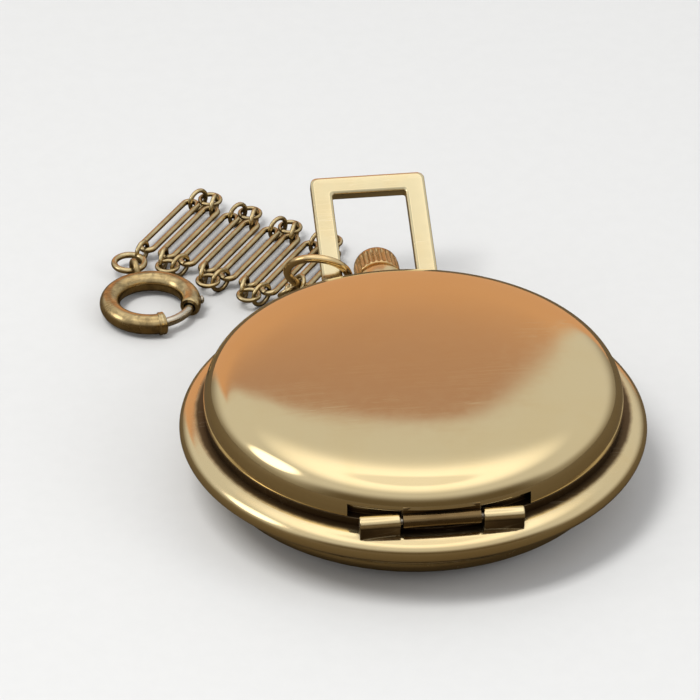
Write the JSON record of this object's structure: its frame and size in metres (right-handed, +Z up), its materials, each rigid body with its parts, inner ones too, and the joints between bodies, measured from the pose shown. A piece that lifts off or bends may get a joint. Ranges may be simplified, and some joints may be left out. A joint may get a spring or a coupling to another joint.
{
  "type": "fob watch",
  "caption": "Full-hunter fob watch lying lid up, with hinged front cover, winding crown, square bow, hand-wound movement and a fetter chain ending in a bolt ring.",
  "frame": {"origin": "centre of the flat spot on the back that the watch rests on", "axes": "+Z up through the dial and lid, +Y towards the bow and crown (12 o'clock), +X towards 3 o'clock"},
  "size_m": [0.0535, 0.0797, 0.0138],
  "materials": {
    "case_gold": "polished gold plate",
    "chain_brass": "aged, worn gold plate",
    "movement_brass": "satin",
    "steel": "polished",
    "nickel": "nickel plate, fine grain",
    "blued_steel": "heat blued",
    "dial_white": "semi-matt enamel",
    "crystal_clear": "clear",
    "gasket_black": "matt"
  },
  "bodies": {
    "case": {"case_band": "case_gold", "back_cover": "case_gold", "lid_hinge_pin": "steel", "lid_lift_spring": "steel", "bezel": "case_gold", "crystal": "crystal_clear", "pendant": "case_gold", "main_plate": "nickel", "barrel_bridge": "nickel", "train_bridge": "nickel", "balance_cock": "nickel", "pallet_bridge": "nickel", "hairspring": "blued_steel", "dial": "dial_white"},
    "lid": {"front_cover": "case_gold"},
    "catch": {"lid_catch": "steel"},
    "bow": {"bow": "case_gold"},
    "crown_seal": {"crown_gasket": "gasket_black"},
    "crown": {"crown": "case_gold", "winding_stem": "steel"},
    "winding_pinion": {"winding_pinion": "steel"},
    "crown_wheel": {"crown_wheel": "steel"},
    "ratchet": {"ratchet_wheel": "steel", "barrel_arbor": "steel"},
    "click": {"click": "steel"},
    "barrel": {"barrel": "movement_brass", "mainspring": "steel"},
    "minute_train": {"center_wheel": "movement_brass", "cannon_pinion": "steel", "minute_hand": "blued_steel"},
    "hour_train": {"hour_wheel": "movement_brass", "hour_hand": "blued_steel"},
    "minute_wheel": {"minute_wheel": "movement_brass"},
    "third_wheel": {"third_wheel": "movement_brass"},
    "seconds_train": {"fourth_wheel": "movement_brass", "seconds_hand": "blued_steel"},
    "escape_wheel": {"escape_wheel": "steel"},
    "pallet_fork": {"pallet_fork": "steel"},
    "balance": {"balance_wheel": "movement_brass"},
    "regulator": {"regulator": "steel"},
    "bow_ring": {"bow_ring": "case_gold"},
    "chain_rings_1": {"chain_rings_1": "chain_brass"},
    "chain_rings_2": {"chain_rings_2": "chain_brass"},
    "chain_rings_3": {"chain_rings_3": "chain_brass"},
    "chain_rings_4": {"chain_rings_4": "chain_brass"},
    "chain_rings_5": {"chain_rings_5": "chain_brass"},
    "chain_rings_6": {"chain_rings_6": "chain_brass"},
    "chain_rings_7": {"chain_rings_7": "chain_brass"},
    "chain_rings_8": {"chain_rings_8": "chain_brass"},
    "chain_rings_9": {"chain_rings_9": "chain_brass"},
    "fetter_1": {"fetter_1": "chain_brass"},
    "fetter_2": {"fetter_2": "chain_brass"},
    "fetter_3": {"fetter_3": "chain_brass"},
    "fetter_4": {"fetter_4": "chain_brass"},
    "fetter_5": {"fetter_5": "chain_brass"},
    "fetter_6": {"fetter_6": "chain_brass"},
    "fetter_7": {"fetter_7": "chain_brass"},
    "fetter_8": {"fetter_8": "chain_brass"},
    "bolt_ring": {"bolt_ring": "chain_brass"},
    "bolt": {"bolt_ring_bolt": "steel"}
  },
  "joints": [
    {"name": "lid_swing", "type": "hinge", "parent": "case", "child": "lid", "pos_m": [0, -0.0214, 0.0092], "axis": [1, 0, 0], "range_deg": [0, 95]},
    {"name": "catch_press", "type": "slide", "parent": "case", "child": "catch", "axis": [0, -1, 0], "range_m": [0, 0.0004]},
    {"name": "bow_swing", "type": "hinge", "parent": "case", "child": "bow", "pos_m": [0, 0.0253, 0.0064], "axis": [1, 0, 0], "range_deg": [-85, 60]},
    {"name": "crown_pull", "type": "slide", "parent": "case", "child": "crown_seal", "axis": [0, 1, 0], "range_m": [-0.0006, 0.0009]},
    {"name": "crown_turn", "type": "hinge", "parent": "crown_seal", "child": "crown", "pos_m": [0, 0.02745, 0.0064], "axis": [0, 1, 0], "continuous": true},
    {"name": "winding_pinion_turn", "type": "hinge", "parent": "case", "child": "winding_pinion", "pos_m": [0, 0.0128, 0.0064], "axis": [0, 1, 0], "continuous": true},
    {"name": "crown_wheel_turn", "type": "hinge", "parent": "case", "child": "crown_wheel", "pos_m": [0, 0.0116, 0.0023], "axis": [0, 0, 1], "continuous": true},
    {"name": "ratchet_turn", "type": "hinge", "parent": "case", "child": "ratchet", "pos_m": [0.0075, 0.00498, 0.0023], "axis": [0, 0, 1], "continuous": true},
    {"name": "click_rock", "type": "hinge", "parent": "case", "child": "click", "pos_m": [0.00666, 0.01294, 0.0023], "axis": [0, 0, 1], "range_deg": [0, 12]},
    {"name": "minute_turn", "type": "hinge", "parent": "case", "child": "minute_train", "pos_m": [0, 0, 0.008], "axis": [0, 0, -1], "continuous": true},
    {"name": "hour_turn", "type": "hinge", "parent": "case", "child": "hour_train", "pos_m": [0, 0, 0.008], "axis": [0, 0, -1], "continuous": true},
    {"name": "minute_wheel_turn", "type": "hinge", "parent": "case", "child": "minute_wheel", "pos_m": [0.00318, 0.00169, 0.0073], "axis": [0, 0, -1], "continuous": true},
    {"name": "third_wheel_turn", "type": "hinge", "parent": "case", "child": "third_wheel", "pos_m": [-0.00407, -0.00505, 0.004], "axis": [0, 0, -1], "continuous": true},
    {"name": "seconds_turn", "type": "hinge", "parent": "case", "child": "seconds_train", "pos_m": [0, -0.0084, 0.004], "axis": [0, 0, -1], "continuous": true},
    {"name": "escape_turn", "type": "hinge", "parent": "case", "child": "escape_wheel", "pos_m": [0.00297, -0.01215, 0.0046], "axis": [0, 0, -1], "continuous": true},
    {"name": "barrel_turn", "type": "hinge", "parent": "case", "child": "barrel", "pos_m": [0.0075, 0.00498, 0.0046], "axis": [0, 0, -1], "continuous": true},
    {"name": "pallet_rock", "type": "hinge", "parent": "case", "child": "pallet_fork", "pos_m": [0.00524, -0.01077, 0.0046], "axis": [0, 0, 1], "range_deg": [-5, 5]},
    {"name": "balance_swing", "type": "hinge", "parent": "case", "child": "balance", "pos_m": [0.0083, -0.0089, 0.0035], "axis": [0, 0, 1], "range_deg": [-270, 270]},
    {"name": "regulator_turn", "type": "hinge", "parent": "case", "child": "regulator", "pos_m": [0.0083, -0.0089, 0.00175], "axis": [0, 0, 1], "range_deg": [-15, 15]},
    {"name": "bow_ring_swing", "type": "hinge", "parent": "bow", "child": "bow_ring", "pos_m": [-0.0051, 0.0284, 0.00785], "axis": [0, 0.9063, 0.4226], "range_deg": [-20, 50]},
    {"name": "chain_rings_1_swing", "type": "hinge", "parent": "bow_ring", "child": "chain_rings_1", "pos_m": [-0.0083, 0.03004, 0.00497], "axis": [-0.8145, -0.1207, 0.5674], "range_deg": [-25, 25]},
    {"name": "fetter_1_swing", "type": "hinge", "parent": "chain_rings_1", "child": "fetter_1", "pos_m": [-0.00945, 0.03269, 0.00142], "axis": [0.829, -0.5592, 0], "range_deg": [-25, 25]},
    {"name": "chain_rings_2_swing", "type": "hinge", "parent": "fetter_1", "child": "chain_rings_2", "pos_m": [-0.0031, 0.0421, 0.00142], "axis": [-0.829, 0.5592, 0], "range_deg": [-25, 25]},
    {"name": "fetter_2_swing", "type": "hinge", "parent": "chain_rings_2", "child": "fetter_2", "pos_m": [-0.00516, 0.04384, 0.00142], "axis": [0.829, -0.5592, 0], "range_deg": [-25, 25]},
    {"name": "chain_rings_3_swing", "type": "hinge", "parent": "fetter_2", "child": "chain_rings_3", "pos_m": [-0.01151, 0.03443, 0.00142], "axis": [-0.829, 0.5592, 0], "range_deg": [-25, 25]},
    {"name": "fetter_3_swing", "type": "hinge", "parent": "chain_rings_3", "child": "fetter_3", "pos_m": [-0.01356, 0.03617, 0.00142], "axis": [0.829, -0.5592, 0], "range_deg": [-25, 25]},
    {"name": "chain_rings_4_swing", "type": "hinge", "parent": "fetter_3", "child": "chain_rings_4", "pos_m": [-0.00721, 0.04558, 0.00142], "axis": [-0.829, 0.5592, 0], "range_deg": [-25, 25]},
    {"name": "fetter_4_swing", "type": "hinge", "parent": "chain_rings_4", "child": "fetter_4", "pos_m": [-0.00927, 0.04731, 0.00142], "axis": [0.829, -0.5592, 0], "range_deg": [-25, 25]},
    {"name": "chain_rings_5_swing", "type": "hinge", "parent": "fetter_4", "child": "chain_rings_5", "pos_m": [-0.01561, 0.0379, 0.00142], "axis": [-0.829, 0.5592, 0], "range_deg": [-25, 25]},
    {"name": "fetter_5_swing", "type": "hinge", "parent": "chain_rings_5", "child": "fetter_5", "pos_m": [-0.01767, 0.03964, 0.00142], "axis": [0.829, -0.5592, 0], "range_deg": [-25, 25]},
    {"name": "chain_rings_6_swing", "type": "hinge", "parent": "fetter_5", "child": "chain_rings_6", "pos_m": [-0.01132, 0.04905, 0.00142], "axis": [-0.829, 0.5592, 0], "range_deg": [-25, 25]},
    {"name": "fetter_6_swing", "type": "hinge", "parent": "chain_rings_6", "child": "fetter_6", "pos_m": [-0.01337, 0.05079, 0.00142], "axis": [0.829, -0.5592, 0], "range_deg": [-25, 25]},
    {"name": "chain_rings_7_swing", "type": "hinge", "parent": "fetter_6", "child": "chain_rings_7", "pos_m": [-0.01972, 0.04138, 0.00142], "axis": [-0.829, 0.5592, 0], "range_deg": [-25, 25]},
    {"name": "fetter_7_swing", "type": "hinge", "parent": "chain_rings_7", "child": "fetter_7", "pos_m": [-0.02177, 0.04312, 0.00142], "axis": [0.829, -0.5592, 0], "range_deg": [-25, 25]},
    {"name": "chain_rings_8_swing", "type": "hinge", "parent": "fetter_7", "child": "chain_rings_8", "pos_m": [-0.01543, 0.05253, 0.00142], "axis": [-0.829, 0.5592, 0], "range_deg": [-25, 25]},
    {"name": "fetter_8_swing", "type": "hinge", "parent": "chain_rings_8", "child": "fetter_8", "pos_m": [-0.01748, 0.05426, 0.00142], "axis": [0.829, -0.5592, 0], "range_deg": [-25, 25]},
    {"name": "chain_rings_9_swing", "type": "hinge", "parent": "fetter_8", "child": "chain_rings_9", "pos_m": [-0.02383, 0.04485, 0.00142], "axis": [-0.829, 0.5592, 0], "range_deg": [-25, 25]},
    {"name": "bolt_ring_swing", "type": "hinge", "parent": "chain_rings_9", "child": "bolt_ring", "pos_m": [-0.02531, 0.04085, 0.00142], "axis": [0.9855, 0.1699, 0], "range_deg": [-25, 25]},
    {"name": "bolt_slide", "type": "hinge", "parent": "bolt_ring", "child": "bolt", "pos_m": [-0.02413, 0.034, 0.00142], "axis": [0, 0, 1], "range_deg": [0, 60]}
  ],
  "couplings": [
    {"joint": "winding_pinion_turn", "follows": "crown_turn", "ratio": 1},
    {"joint": "crown_wheel_turn", "follows": "crown_turn", "ratio": 1},
    {"joint": "ratchet_turn", "follows": "crown_turn", "ratio": -0.66667},
    {"joint": "hour_turn", "follows": "minute_turn", "ratio": 0.083333},
    {"joint": "minute_wheel_turn", "follows": "minute_turn", "ratio": -0.33333},
    {"joint": "third_wheel_turn", "follows": "minute_turn", "ratio": -8},
    {"joint": "seconds_turn", "follows": "minute_turn", "ratio": 60},
    {"joint": "escape_turn", "follows": "minute_turn", "ratio": -600},
    {"joint": "barrel_turn", "follows": "minute_turn", "ratio": -0.125}
  ]
}
